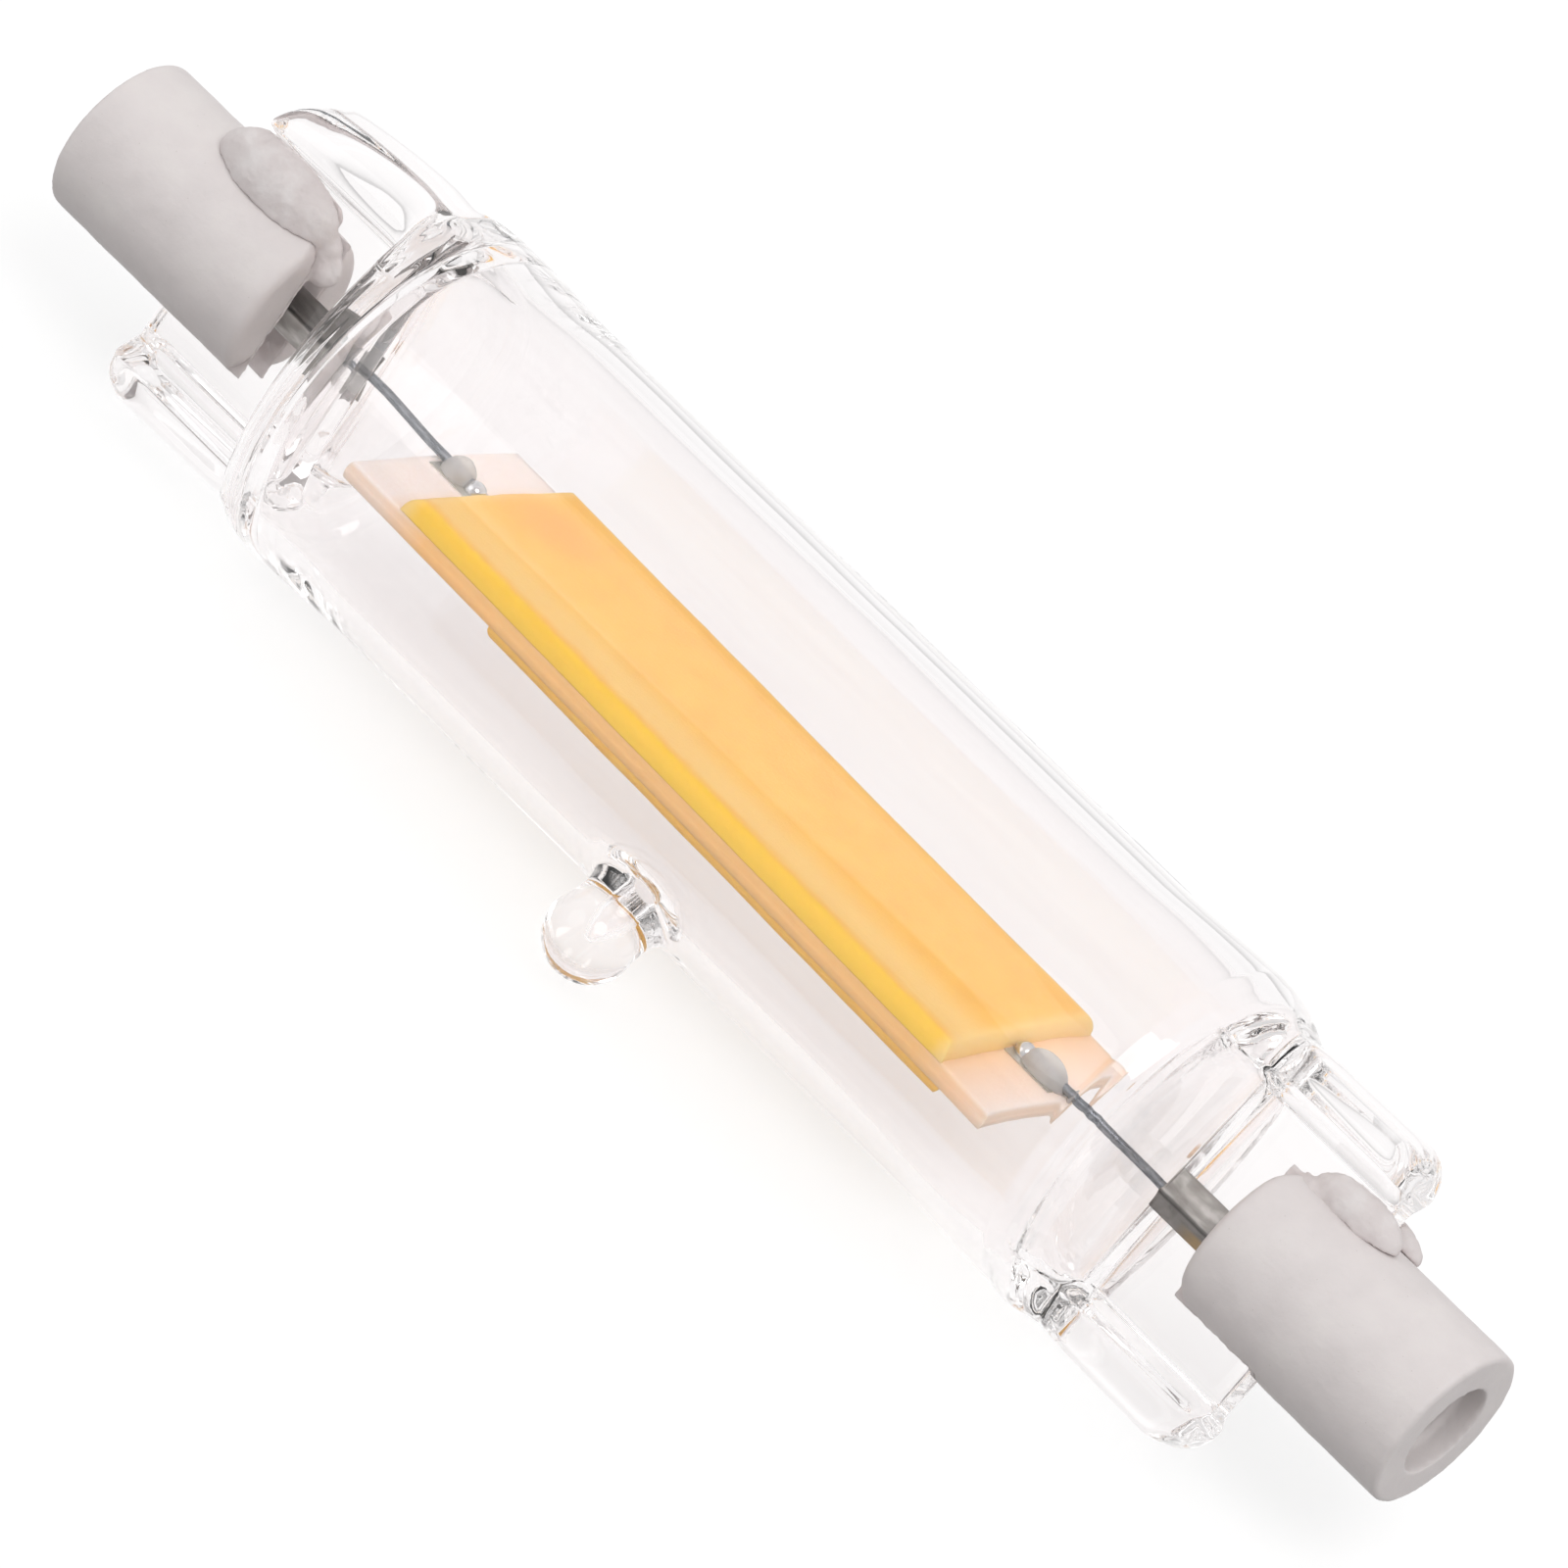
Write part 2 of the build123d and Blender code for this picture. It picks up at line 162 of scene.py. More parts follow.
def blank(name):
    """New material with an empty node tree."""
    mat = bpy.data.materials.new(name)
    mat.use_nodes = True
    mat.node_tree.nodes.clear()
    return mat


def millimetres(mat):
    """Place on the object in millimetres."""
    place = add(mat, "ShaderNodeTexCoord").outputs["Object"]
    return add(mat, "ShaderNodeVectorMath", {0: place, "Scale": 1000.0}, operation="SCALE").outputs[0]


def along(mat, place, direction, origin=(0, 0, 0)):
    """How far a point lies from the origin in one direction."""
    off = add(mat, "ShaderNodeVectorMath", {0: place, 1: origin}, operation="SUBTRACT").outputs[0]
    return add(mat, "ShaderNodeVectorMath", {0: off, 1: direction}, operation="DOT_PRODUCT").outputs["Value"]


def grain(mat, place, per_mm, detail=4.0, rough=0.55, warp=0.0):
    """Even noise, with its scale in cells for each millimetre."""
    return add(mat, "ShaderNodeTexNoise", {"Vector": place, "Scale": per_mm, "Detail": detail,
                                           "Roughness": rough, "Distortion": warp}).outputs["Fac"]


def ramp(mat, value, stops):
    """Colour for a value, from stops of position and hex code."""
    node = add(mat, "ShaderNodeValToRGB", {"Fac": value})
    marks = node.color_ramp.elements
    while len(marks) < len(stops):
        marks.new(0.5)
    for mark, (at, code) in zip(marks, stops):
        mark.position = at
        mark.color = linear(code)
    return node.outputs["Color"]


def fit(mat, value, lo, hi, to_lo=0.0, to_hi=1.0, kind="LINEAR"):
    """Value moved from one range to another and kept inside it."""
    sockets = {"Value": value, "From Min": lo, "From Max": hi, "To Min": to_lo, "To Max": to_hi}
    return add(mat, "ShaderNodeMapRange", sockets, clamp=True, interpolation_type=kind).outputs["Result"]


def blend(mat, share, a, b):
    """Colour between two colours, each a socket or a hex code."""
    node = add(mat, "ShaderNodeMix", data_type="RGBA")
    for key, value in ((0, share), (6, a), (7, b)):
        if isinstance(value, bpy.types.NodeSocket):
            mat.node_tree.links.new(value, node.inputs[key])
        else:
            node.inputs[key].default_value = linear(value) if isinstance(value, str) else value
    return node.outputs[2]


def calc(mat, operation, a, b=0.0):
    """One step of arithmetic."""
    return add(mat, "ShaderNodeMath", {0: a, 1: b}, operation=operation).outputs[0]


def bump(mat, height, depth_mm, strength):
    """Fine relief of a real depth."""
    sockets = {"Height": height, "Distance": depth_mm * MM, "Strength": strength}
    return add(mat, "ShaderNodeBump", sockets).outputs["Normal"]


def surface(mat, colour, rough, normal=None, **more):
    """Shader of a surface, with an underscore for each space in the name of a further socket."""
    sockets = {"Base Color": colour, "Roughness": rough}
    if normal is not None:
        sockets["Normal"] = normal
    sockets.update({key.replace("_", " "): value for key, value in more.items()})
    return add(mat, "ShaderNodeBsdfPrincipled", sockets)


def done(mat, shader):
    """Material with its shader put out."""
    add(mat, "ShaderNodeOutputMaterial", {"Surface": shader.outputs[0]})
    return mat


def lit_through(mat, shader, share):
    """Clear shader that lets a share of the lamps' light straight through, in place of a black shadow."""
    shadow = add(mat, "ShaderNodeLightPath").outputs["Is Shadow Ray"]
    passing = add(mat, "ShaderNodeBsdfTransparent", {"Color": (share, share, share, 1)})
    return add(mat, "ShaderNodeMixShader", {0: shadow, 1: shader.outputs[0], 2: passing.outputs[0]})


def clear_glass():
    """Fire-polished clear glass. Faint streaks of the draw along the tube give the gloss its ripple."""
    mat = blank("fire_polished_clear_glass")
    place = millimetres(mat)
    stretched = add(mat, "ShaderNodeMapping", {"Vector": place, "Scale": (0.12, 1.0, 1.0)}).outputs[0]
    streaks = grain(mat, stretched, 0.9, 3.0)
    tint = ramp(mat, streaks, [(0.3, "#FAF7F7"), (0.7, "#FDFBFB")])
    glass = surface(mat, tint, 0.0, bump(mat, streaks, 0.002, 0.3), Transmission_Weight=1.0)
    return done(mat, lit_through(mat, glass, 0.97))


def phosphor(name, front):
    """Silicone loaded with phosphor powder, dispensed and cured: matt, grainy, paler where it thins, and on the
    front coat with a pale band of painted highlight inside its near edge.
    """
    mat = blank(name)
    place = millimetres(mat)
    u = along(mat, place, P_X, P_O)
    v = along(mat, place, P_Y, P_O)
    fine = grain(mat, place, 14.0, 5.0, 0.65)
    broad = grain(mat, place, 0.55, 3.0)
    tone = calc(mat, "ADD", calc(mat, "MULTIPLY", fine, 0.45), calc(mat, "MULTIPLY", broad, 0.55))
    base = ramp(mat, tone, [(0.30, "#FAB43A"), (0.50, "#FFBE42"), (0.72, "#FFC750")])
    if front:
        wavy = calc(mat, "ADD", v, calc(mat, "MULTIPLY", grain(mat, place, 0.8, 2.0), 0.5))
        # A pale band inside the near edge of the front coat: a painted highlight
        painted_lit = calc(mat, "MULTIPLY", fit(mat, wavy, -1.6, -3.6), fit(mat, wavy, -5.3, -4.7))
        base = blend(mat, calc(mat, "MULTIPLY", painted_lit, 0.75), base, "#FFD27C")
        stripe = fit(mat, wavy, -5.1, -5.5, 0.0, 0.95, "SMOOTHSTEP")
        base = blend(mat, stripe, base, "#FFCB1E")
        far = fit(mat, v, 5.0, 5.8, 0.0, 0.7, "SMOOTHSTEP")
        base = blend(mat, far, base, "#FFD584")
        ends = fit(mat, calc(mat, "ABSOLUTE", u), 15.2, 16.1, 0.0, 0.75, "SMOOTHSTEP")
        base = blend(mat, ends, base, "#FFD98F")
        middle = on_plate(*PATCH)
        spot = add(mat, "ShaderNodeVectorMath", {0: place, 1: middle}, operation="DISTANCE").outputs["Value"]
        patch = fit(mat, spot, 3.2, 0.6, 0.0, 0.8, "SMOOTHSTEP")
        base = blend(mat, patch, base, "#FFAE45")
    height = calc(mat, "ADD", fine, calc(mat, "MULTIPLY", grain(mat, place, 5.0, 3.0), 1.5))
    rough = fit(mat, fine, 0.3, 0.7, 0.42, 0.62)
    return done(mat, surface(mat, base, rough, bump(mat, height, 0.02, 0.6), Subsurface_Weight=0.25,
                             Subsurface_Radius=(1.0, 0.6, 0.2), Subsurface_Scale=0.0006))


def plate_ceramic():
    """Fired translucent alumina. Light from the phosphor soaks in, so its bare ends go peach near the coat;
    this glow is painted into its colour, as is a deeper peach on its side and under faces.
    """
    mat = blank("fired_translucent_alumina")
    place = millimetres(mat)
    u = along(mat, place, P_X, P_O)
    w = along(mat, place, P_Z, P_O)
    speck = grain(mat, place, 9.0, 5.0, 0.7)
    base = ramp(mat, speck, [(0.3, "#F0E0D7"), (0.5, "#F5E8E2"), (0.75, "#F8EFEA")])
    # Deeper peach on the side and under faces: a painted glow of the phosphor's light through the translucent
    # plate
    side = blend(mat, 0.6, base, "#EBCBAE")
    base = blend(mat, fit(mat, w, 0.36, 0.22), base, side)
    # Peach near the coat at the bare ends: painted glow of the phosphor's light
    painted_soak_glow = calc(mat, "MINIMUM", fit(mat, u, -17.0, -14.0, 0.0, 0.9), fit(mat, u, 19.6, 15.0, 0.0, 0.8))
    base = blend(mat, painted_soak_glow, base, "#FFB74C")
    rough = fit(mat, speck, 0.3, 0.7, 0.35, 0.5)
    return done(mat, surface(mat, base, rough, bump(mat, speck, 0.008, 0.5), Subsurface_Weight=0.4,
                             Subsurface_Radius=(1.0, 0.8, 0.6), Subsurface_Scale=0.0008))


def cap_ceramic():
    """Unglazed pressed steatite: chalky, with pores and a faint grey bloom from handling."""
    mat = blank("unglazed_pressed_steatite")
    place = millimetres(mat)
    cloud = grain(mat, place, 0.45, 4.0)
    pores = grain(mat, place, 11.0, 6.0, 0.7)
    base = ramp(mat, cloud, [(0.25, "#DAD3D2"), (0.5, "#DFD8D7"), (0.75, "#E3DDDB")])
    cells = add(mat, "ShaderNodeTexVoronoi", {"Vector": place, "Scale": 2.2}).outputs["Distance"]
    base = blend(mat, fit(mat, cells, 0.07, 0.03, 0.0, 0.5), base, "#B9B0AB")
    base = blend(mat, fit(mat, pores, 0.62, 0.75, 0.0, 0.15), base, "#C8C1BE")
    height = calc(mat, "ADD", pores, calc(mat, "MULTIPLY", grain(mat, place, 3.0, 3.0), 2.0))
    rough = fit(mat, pores, 0.3, 0.7, 0.45, 0.65)
    return done(mat, surface(mat, base, rough, bump(mat, height, 0.015, 0.5), Subsurface_Weight=0.1,
                             Subsurface_Radius=(1.0, 0.9, 0.8), Subsurface_Scale=0.0005))


def cement():
    """Set capping cement, squeezed out and baked: grey-pink and granular, with darker specks of grit."""
    mat = blank("baked_capping_cement")
    place = millimetres(mat)
    grit = grain(mat, place, 6.0, 6.0, 0.7)
    broad = grain(mat, place, 0.9, 3.0, 0.5, 0.4)
    base = ramp(mat, broad, [(0.3, "#D6CDCC"), (0.5, "#DCD4D3"), (0.7, "#E2DCDB")])
    base = blend(mat, fit(mat, grit, 0.60, 0.76, 0.0, 0.2), base, "#B9AEAB")
    height = calc(mat, "ADD", grit, calc(mat, "MULTIPLY", grain(mat, place, 2.5, 2.0), 1.5))
    return done(mat, surface(mat, base, fit(mat, grit, 0.3, 0.7, 0.6, 0.85), bump(mat, height, 0.03, 0.6)))


def metal(name, tones, rough, stretch=(1, 1, 1), per_mm=3.0, depth=0.004):
    """Bare metal: its tone drifts with the marks that its making left, and the marks ripple its gloss."""
    mat = blank(name)
    place = millimetres(mat)
    marks = add(mat, "ShaderNodeMapping", {"Vector": place, "Scale": stretch}).outputs[0]
    fine = grain(mat, marks, per_mm, 5.0, 0.65)
    base = ramp(mat, fine, [(0.3, tones[0]), (0.5, tones[1]), (0.72, tones[2])])
    finish = fit(mat, fine, 0.3, 0.7, rough[0], rough[1])
    return done(mat, surface(mat, base, finish, bump(mat, fine, depth, 0.7), Metallic=1.0))


def foil_metal(sign, side):
    """Etched molybdenum foil, with painted light: the half on one side of its fold is painted pale as if lit,
    the other dark as if in shade, with a line of painted shade along the fold. The right one is gilt by the
    cap.
    """
    mat = blank(f"etched_molybdenum_foil_{side}")
    place = millimetres(mat)
    x = calc(mat, "ABSOLUTE", along(mat, place, (1, 0, 0)))
    y = along(mat, place, across(PINCH[sign]), across(PINCH[sign]) * (sign * FOLD_ALONG[sign]))
    drawn = add(mat, "ShaderNodeMapping", {"Vector": place, "Scale": (0.35, 1.0, 1.0)}).outputs[0]
    wrinkle = grain(mat, drawn, 1.6, 3.0, 0.5, 0.3)
    # Lit and shaded copies of one foil tone: the pale one is painted light, the dark one painted shade
    painted_lit = ramp(mat, wrinkle, [(0.32, "#8C8884"), (0.5, "#A5A19D"), (0.66, "#D3D0CD")])
    painted_shaded = ramp(mat, wrinkle, [(0.32, "#625F5C"), (0.5, "#7B7774"), (0.66, "#918D8A")])
    wavy = calc(mat, "ADD", y, calc(mat, "MULTIPLY", grain(mat, place, 1.5, 2.0), 0.1))
    # Which side of the fold gets the painted light and which the painted shade
    half = fit(mat, wavy, 0.03, 0.07)
    base = blend(mat, half, *((painted_shaded, painted_lit) if sign > 0 else (painted_lit, painted_shaded)))
    # Dark line along the fold: painted shade in the crease
    painted_fold_shade = fit(mat, calc(mat, "ABSOLUTE", calc(mat, "SUBTRACT", wavy, 0.05)), 0.14, 0.05, 0.0, 0.8)
    base = blend(mat, painted_fold_shade, base, "#3E3B39")
    if sign > 0:
        gilt = calc(mat, "MULTIPLY", fit(mat, x, 25.6, 26.6), fit(mat, y, -0.25, -0.4))
        base = blend(mat, calc(mat, "MULTIPLY", gilt, 0.6), base, "#B49256")
    return done(mat, surface(mat, base, fit(mat, wrinkle, 0.3, 0.7, 0.35, 0.5), bump(mat, wrinkle, 0.02, 0.5),
                             Metallic=0.8))


def resin():
    """Clear silicone drop, a little milky, with a few trapped bubbles."""
    mat = blank("clear_silicone_drop")
    place = millimetres(mat)
    cloud = grain(mat, place, 2.5, 4.0)
    bubbles = add(mat, "ShaderNodeTexVoronoi", {"Vector": place, "Scale": 5.0}).outputs["Distance"]
    height = fit(mat, bubbles, 0.08, 0.16)
    tint = ramp(mat, cloud, [(0.3, "#E9E4E0"), (0.7, "#F6F3F0")])
    bead = surface(mat, tint, fit(mat, cloud, 0.3, 0.7, 0.04, 0.2), bump(mat, height, 0.02, 0.4),
                   Transmission_Weight=0.6, IOR=1.41)
    return done(mat, lit_through(mat, bead, 0.9))


def die(name, tones, per_mm):
    """Bare semiconductor die: glossy, with the streets and cells of its pattern as small tone steps."""
    mat = blank(name)
    place = millimetres(mat)
    cells = add(mat, "ShaderNodeTexVoronoi", {"Vector": place, "Scale": per_mm}, distance="CHEBYCHEV")
    base = ramp(mat, cells.outputs["Distance"], [(0.1, tones[0]), (0.35, tones[1]), (0.6, tones[2])])
    return done(mat, surface(mat, base, fit(mat, grain(mat, place, 8.0), 0.3, 0.7, 0.15, 0.35)))


glass_look = clear_glass()
front_look = phosphor("dispensed_phosphor_silicone_front", True)
back_look = phosphor("dispensed_phosphor_silicone_back", False)
plate_look = plate_ceramic()
cap_look = cap_ceramic()
cement_look = cement()
wire_tones = ("#5C6066", "#777B81", "#9EA2A7")
wire_look = metal("drawn_nickel_wire", wire_tones, (0.22, 0.4), (0.2, 1, 1), 7.0, 0.001)
solder_look = metal("bright_solder", ("#B9BABC", "#D2D3D4", "#E6E7E8"), (0.08, 0.2), (1, 1, 1), 2.0, 0.01)
silver_look = metal("fired_silver_print", ("#B7B2A8", "#CBC7BD", "#D9D6CE"), (0.35, 0.55), (1, 1, 1), 9.0)
# The contact's dark tones are partly tarnish and partly painted shade of the cap's recess; its brightest tone
# makes painted glints
contact_shade_and_glint_look = metal("nickel_plated_contact", ("#2F2C2A", "#57524E", "#E2DFDB"), (0.1, 0.25), (1, 1, 1), 2.2)
foil_look = {-1: foil_metal(-1, "left"), 1: foil_metal(1, "right")}
resin_look = resin()
chip_look = die("light_emitting_die", ("#C9CF9B", "#DDE0BC", "#EDEFD8"), 5.0)
control_look = die("silicon_driver_die", ("#2E3036", "#454851", "#5F636D"), 6.0)


# Meshes

def placed(name, data):
    """New object in the scene."""
    made = bpy.data.objects.new(name, data)
    bpy.context.scene.collection.objects.link(made)
    return made


def hand_over(made, node):
    """Puts a piece on the lamp's one body, in place of its CAD node."""
    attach(made, "root")
    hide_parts(node)


def piece(name, verts, faces, look, node):
    """Smooth mesh from points in millimetres. Points that no face uses are left out."""
    used = sorted({i for face in faces for i in face})
    order = {old: new for new, old in enumerate(used)}
    mesh = bpy.data.meshes.new(name)
    points = [tuple(c * MM for c in verts[i]) for i in used]
    mesh.from_pydata(points, [], [[order[i] for i in face] for face in faces])
    mesh.materials.append(look)
    mesh.validate()
    mesh.shade_smooth()
    hand_over(placed(name, mesh), node)


def smoothstep(t):
    """Even rise from 0 to 1 with flat ends."""
    t = np.clip(t, 0, 1)
    return t * t * (3 - 2 * t)


def quarter():
    """Matching points of a quarter of the pressed I-section and of the round tube: angle, y, z."""
    round_y, round_z = PINCH_HALF - BEAD_ROUND, BEAD_HALF - BEAD_ROUND
    rows = [(PINCH_HALF, z) for z in (0.0, 0.35, 0.7, round_z)]
    for a in range(15, 91, 15):
        turn = math.radians(a)
        rows.append((round_y + BEAD_ROUND * math.cos(turn), round_z + BEAD_ROUND * math.sin(turn)))
    run = [0.0]
    for p, q in zip(rows, rows[1:]):
        run.append(run[-1] + math.dist(p, q))
    border = math.degrees(math.acos(round_y / PINCH_HALF))
    points = [(border * d / run[-1], y, z) for (y, z), d in zip(rows, run)]
    for y in [6.1] + list(np.linspace(FLANK_TO, 5.1, 10)) + list(np.linspace(4.9, 0.0, 24)):
        rise = float(smoothstep((y - FLANK_FROM) / (FLANK_TO - FLANK_FROM)))
        high = WEB_HALF + (BEAD_HALF - WEB_HALF) * rise
        points.append((math.degrees(math.acos(y / PINCH_HALF)), float(y), high))
    return points


QUARTER = quarter()
ring = list(QUARTER)
ring += [(180 - a, -y, z) for a, y, z in reversed(QUARTER[:-1])]
ring += [(180 + a, -y, -z) for a, y, z in QUARTER[1:]]
ring += [(360 - a, y, -z) for a, y, z in reversed(QUARTER[1:-1])]
RING_A, RING_Y, RING_Z = (np.array(c, dtype=float) for c in zip(*ring))
COUNT = len(ring)

# How far the round section has turned into the flat one, along the outside of a shoulder and along its bore
SHOULDER_X = [21.6, 22.3, 22.8, 23.2, 23.5, 23.72, 23.88, 24.0, 24.1, 24.2, 24.35, 24.6, 25.0]
SHOULDER_W = [0.0, 0.012, 0.035, 0.075, 0.13, 0.20, 0.30, 0.45, 0.64, 0.81, 0.92, 0.98, 1.0]
BORE_X = [21.5, 22.1, 22.45, 22.7, 22.85, 22.96, 23.05, 23.15, 23.3, 23.55, 23.9]
BORE_W = [0.0, 0.03, 0.08, 0.17, 0.30, 0.50, 0.70, 0.85, 0.93, 0.975, 1.0]


def twist(x):
    """Turn of the glass about the axis at one place along the lamp."""
    return float(np.interp(x, [-21.5, 21.5], [PINCH[-1], PINCH[1]]))


def outer_section(x):
    """Outside of the glass at one place along the lamp, as y and z in its own turned frame."""
    sign = -1 if x < 0 else 1
    ax = abs(x)
    end = PINCH_END[sign]
    radius = TUBE + SWELL * float(smoothstep((ax - 16.6) / 5.0))
    w = np.interp(ax - 0.35 * (np.abs(RING_Y) / PINCH_HALF) ** 2, SHOULDER_X, SHOULDER_W)
    side = smoothstep((ax - 22.4) / 2.0)
    edge_y = np.where(np.abs(RING_Y) > 5.6, side, w)
    # The edge beads stand further in at the waist beside the shoulder than at the end
    run = min(max((ax - 24.4) / (end - 24.4), 0.0), 1.0)
    waist = 0.15 * math.exp(-((ax - 24.5) / 0.9) ** 2)
    wide = 7.68 + 0.1 * run - waist
    if sign < 0:
        wide = np.where(RING_Y > 0, 8.0 - waist - 0.9 * run ** 2.2, wide)
    if ax > end - PINCH_CORNER:
        into = ax - end + PINCH_CORNER
        wide -= PINCH_CORNER - math.sqrt(max(0.0, PINCH_CORNER ** 2 - into ** 2))
    shift = -0.35 * float(smoothstep((x - 21.5) / 3.0))
    spread = WIDE_FROM + (np.abs(RING_Y) - WIDE_FROM) * (wide - WIDE_FROM) / (PINCH_HALF - WIDE_FROM)
    y_flat = np.where(np.abs(RING_Y) > WIDE_FROM, np.sign(RING_Y) * spread, RING_Y)
    y = radius * np.cos(np.radians(RING_A)) * (1 - edge_y) + y_flat * edge_y
    z = radius * np.sin(np.radians(RING_A)) * (1 - w) + RING_Z * w
    if ax > end - PINCH_LIP:
        z = z * (0.5 + 0.5 * math.sqrt(max(0.0, 1 - ((ax - end + PINCH_LIP) / PINCH_LIP) ** 2)))
    return y + shift, z


def inner_section(x):
    """Inside of the glass: the round bore closes to a flat nose under each shoulder."""
    ax = abs(x)
    w = np.interp(ax, BORE_X, BORE_W)
    wy = np.interp(ax, [21.4, 22.6, 23.9], [0, 0.2, 1.0])
    nose_y = 5.7 * np.cos(np.radians(RING_A))
    nose_z = 0.32 * np.sin(np.radians(RING_A))
    y = BORE * np.cos(np.radians(RING_A)) * (1 - wy) + nose_y * wy
    z = BORE * np.sin(np.radians(RING_A)) * (1 - w) + nose_z * w
    return y, z


def stations(end_places):
    """Places of the rings along the lamp: those of both ends and closer ones at the tip."""
    xs = [-x for x in end_places(-1)] + list(end_places(1))
    for lo, hi, step in ((-20.8, -3.2, 0.8), (-3.0, 5.5, 0.4), (6.2, 20.9, 0.8)):
        xs += list(np.arange(lo, hi, step))
    return sorted(set(round(float(x), 4) for x in xs))


def outer_places(sign):
    """Rings on the outside of one end: close on its shoulder and on its rounded corner."""
    end = PINCH_END[sign]
    xs = list(np.arange(21.4, 25.2, 0.08)) + list(np.arange(25.3, end - 1.7, 0.3))
    turns = np.radians([8, 16, 24, 32, 40, 48, 55, 61, 66, 70, 74, 78, 82, 85, 88])
    return xs + list(end - PINCH_CORNER + PINCH_CORNER * np.sin(turns)) + [end]


def inner_places(sign):
    """Rings on the inside of one end."""
    return list(np.arange(21.0, 23.88, 0.08)) + [23.9]


def grid_faces(count, hole):
    """Quads of a grid of rings, with a rectangle of them left out."""
    faces = []
    for i in range(count - 1):
        for j in range(COUNT):
            if not (hole[0] <= i < hole[1] and hole[2] <= j < hole[3]):
                k = (j + 1) % COUNT
                faces.append((i * COUNT + j, i * COUNT + k, (i + 1) * COUNT + k, (i + 1) * COUNT + j))
    return faces


def closing(base, outward):
    """Closes the last ring of a grid across its thin side."""
    half = COUNT // 2
    faces = []
    for j in range(half):
        a, b = j, j + 1
        c, d = (COUNT - j - 1) % COUNT, (COUNT - j) % COUNT
        quad = [base + a, base + b, base + c, base + d]
        quad = [q for n, q in enumerate(quad) if q not in quad[:n]]
        if len(quad) > 2:
            faces.append(tuple(quad if outward else quad[::-1]))
    return faces


def shell(xs, section, hole_size, profile, inward):
    """Closed skin over rings along the lamp, with a side branch grafted on at the exhaust tip.

    The branch's profile gives radii and heights over the axis, with the share of the height that doesn't
    follow the tube's own curve. A share under 0 stands for a ring halfway out to the edge of the hole.
    """
    verts = []
    for x in xs:
        y, z = section(x)
        t = math.radians(twist(x))
        for a, b in zip(y, z):
            p = Vector((x, a * math.cos(t) - b * math.sin(t), a * math.sin(t) + b * math.cos(t)))
            soft = noise.noise(Vector((p.x * 0.16, p.y * 0.3, p.z * 0.3)) + Vector((3, 7, 11)))
            out = Vector((0, p.y, p.z)).normalized() if abs(p.y) + abs(p.z) > 1e-6 else Vector((0, 0, 0))
            verts.append(p + out * (soft - 0.6) * 0.015)
    tip, side = across(TIP_ANGLE), across(TIP_ANGLE + 90)
    inside_i, inside_j = set(), set()
    for i, x in enumerate(xs):
        for j in range(COUNT):
            p = verts[i * COUNT + j]
            if p.dot(tip) > 0 and abs(p.x - TIP_ALONG) < hole_size and abs(p.dot(side)) < hole_size:
                inside_i.add(i)
                inside_j.add(j)
    i0, i1, j0, j1 = min(inside_i), max(inside_i), min(inside_j), max(inside_j)
    faces = grid_faces(len(xs), (i0, i1, j0, j1))
    loop = [i0 * COUNT + j for j in range(j0, j1)] + [i * COUNT + j1 for i in range(i0, i1)]
    loop += [i1 * COUNT + j for j in range(j1, j0, -1)] + [i * COUNT + j0 for i in range(i1, i0, -1)]
    turn = [math.atan2(verts[k].dot(side), verts[k].x - TIP_ALONG) for k in loop]
    reach = [math.hypot(verts[k].dot(side), verts[k].x - TIP_ALONG) for k in loop]
    base = BORE if inward else TUBE
    last = loop
    for r, h, share in profile:
        current = []
        for phi, far in zip(turn, reach):
            rr = r if share >= 0 else (r + far) / 2
            s = max(share, 0)
            v = rr * math.sin(phi)
            skin = math.sqrt(base * base - v * v) - 0.018
            height = skin * (1 - s) + h * s
            current.append(len(verts))
            verts.append(Vector((TIP_ALONG + rr * math.cos(phi), 0, 0)) + side * v + tip * height)
        for k in range(len(loop)):
            m = (k + 1) % len(loop)
            faces.append((last[k], last[m], current[m], current[k]))
        last = current
    pole = len(verts)
    verts.append(Vector((TIP_ALONG, 0, 0)) + tip * profile[-1][1] + tip * profile[-1][0] * 0.05)
    for k in range(len(loop)):
        faces.append((last[k], last[(k + 1) % len(loop)], pole))
    faces += closing((len(xs) - 1) * COUNT, True)
    faces += closing(0, False)
    if inward:
        faces = [f[::-1] for f in faces]
    return verts, faces


def glass_envelope():
    """Blown and pressed envelope: the tube's outside and its bore as two skins, with shoulders and tip."""
    tip_profile = [(2.9, 0, -1), (2.35, 0, 0), (2.1, 8.2, 0.35), (1.95, 8.3, 0.8), (1.86, 8.5, 1),
                   (TIP_NECK, 8.8, 1), (TIP_NECK, 9.15, 1)]
    for a in (-18, -8, 2, 12, 22, 32, 42, 52, 62, 72, 82, 87):
        t = math.radians(a)
        tip_profile.append((TIP_BALL * math.cos(t), TIP_REACH + TIP_BALL * math.sin(t), 1))
    verts, faces = shell(stations(outer_places), outer_section, TIP_HOLE, tip_profile, False)
    bore_profile = [(0.95, 0, -1), (0.75, 0, 0), (0.6, 7.15, 0.8), (0.55, 7.4, 1), (0.53, 8.4, 1),
                    (0.5, 9.3, 1), (0.3, 9.9, 1), (0.12, 10.2, 1)]
    more, skin = shell(stations(inner_places), inner_section, TIP_BORE_HOLE, bore_profile, True)
    faces += [tuple(i + len(verts) for i in f) for f in skin]
    piece("glass_blown", verts + more, faces, glass_look, "glass_envelope")


